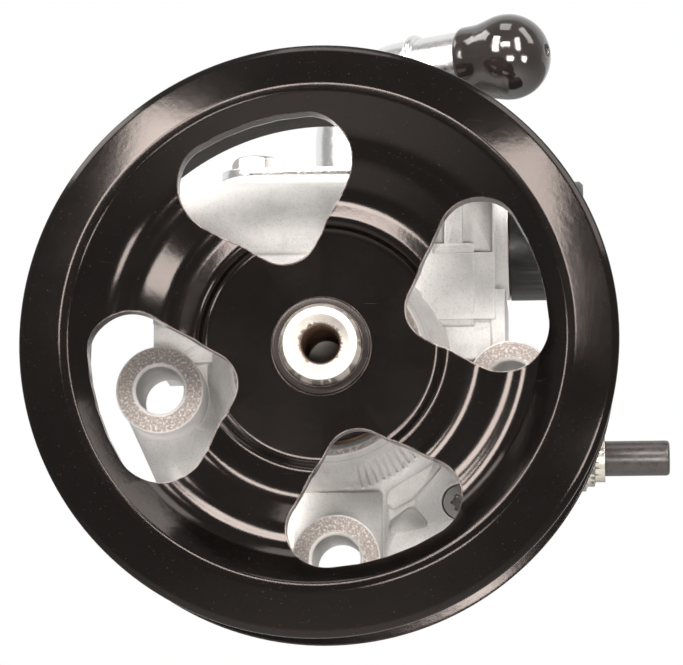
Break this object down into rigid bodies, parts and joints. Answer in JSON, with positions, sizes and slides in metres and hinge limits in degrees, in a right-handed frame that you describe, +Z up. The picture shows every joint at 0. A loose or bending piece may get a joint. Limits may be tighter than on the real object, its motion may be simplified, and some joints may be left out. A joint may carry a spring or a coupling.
{
  "type": "power steering pump",
  "caption": "Belt-driven vane pump for hydraulic steering: black ribbed pulley with access windows on a cast alloy body, capped suction pipe and outlet, pressure switch",
  "frame": {"origin": "mouth of the pulling thread in the drive shaft's front end, on the shaft axis", "axes": "-Y points out of the pulley's front along the shaft, +Z is up in the picture, +X is right in the picture"},
  "size_m": [0.1434, 0.1212, 0.1536],
  "materials": {
    "pulley_black": "satin black paint",
    "hub_black": "satin black paint",
    "shaft_steel": "turned bright steel",
    "cast_alloy": "as cast, fine sand texture",
    "cover_alloy": "as cast, fine sand texture",
    "screw_steel": "plated",
    "bolt_zinc": "zinc plated",
    "bearing_steel": "ground",
    "cage_brass": "pressed",
    "ring_dark": "blackened spring steel",
    "seal_rubber": "matte",
    "bush_bronze": "sintered",
    "pump_steel": "ground",
    "spring_steel": "spring steel",
    "union_zinc": "yellow zinc plated",
    "washer_copper": "annealed copper",
    "cap_plastic": "moulded black",
    "pipe_zinc": "bright zinc plated",
    "cap_vinyl": "dipped glossy black",
    "switch_zinc": "zinc plated",
    "pin_plastic": "moulded black"
  },
  "bodies": {
    "pump": {"housing": "cast_alloy", "rear_cover": "cover_alloy", "cover_screws": "screw_steel", "cover_bolts": "bolt_zinc", "bearing_outer": "bearing_steel", "bearing_ring": "ring_dark", "shaft_seal": "seal_rubber", "shaft_bush": "bush_bronze", "cam_ring": "pump_steel", "front_plate": "pump_steel", "rear_plate": "pump_steel", "plate_spring": "spring_steel", "dowel_pins": "spring_steel", "cover_seal": "seal_rubber", "plate_seal": "seal_rubber", "valve_spring": "spring_steel", "valve_plug": "bolt_zinc", "plug_seal": "seal_rubber", "outlet_union": "union_zinc", "union_seal": "washer_copper", "outlet_cap": "cap_plastic", "suction_pipe": "pipe_zinc", "suction_seal": "seal_rubber", "suction_bolts": "bolt_zinc", "suction_cap": "cap_vinyl", "switch_body": "switch_zinc", "switch_pin": "pin_plastic", "switch_seal": "washer_copper"},
    "turning": {"pulley": "pulley_black", "pulley_hub": "hub_black", "drive_shaft": "shaft_steel", "bearing_inner": "bearing_steel", "rotor": "pump_steel", "rotor_ring": "ring_dark", "vanes": "pump_steel"},
    "caged": {"bearing_balls": "bearing_steel", "bearing_cage": "cage_brass"},
    "spool": {"valve_spool": "pump_steel"}
  },
  "joints": [
    {"name": "pulley_spin", "type": "hinge", "parent": "pump", "child": "turning", "pos_m": [0, 0, 0], "axis": [0, 1, 0], "continuous": true},
    {"name": "cage_spin", "type": "hinge", "parent": "pump", "child": "caged", "pos_m": [0, 0.0297, 0], "axis": [0, 1, 0], "continuous": true},
    {"name": "spool_slide", "type": "slide", "parent": "pump", "child": "spool", "axis": [-1, 0, 0], "range_m": [0, 0.008], "stiffness_N_per_m": 3000, "springref_m": -0.006, "deforming": ["valve_spring"]}
  ],
  "couplings": [
    {"joint": "cage_spin", "follows": "pulley_spin", "ratio": 0.4138}
  ]
}
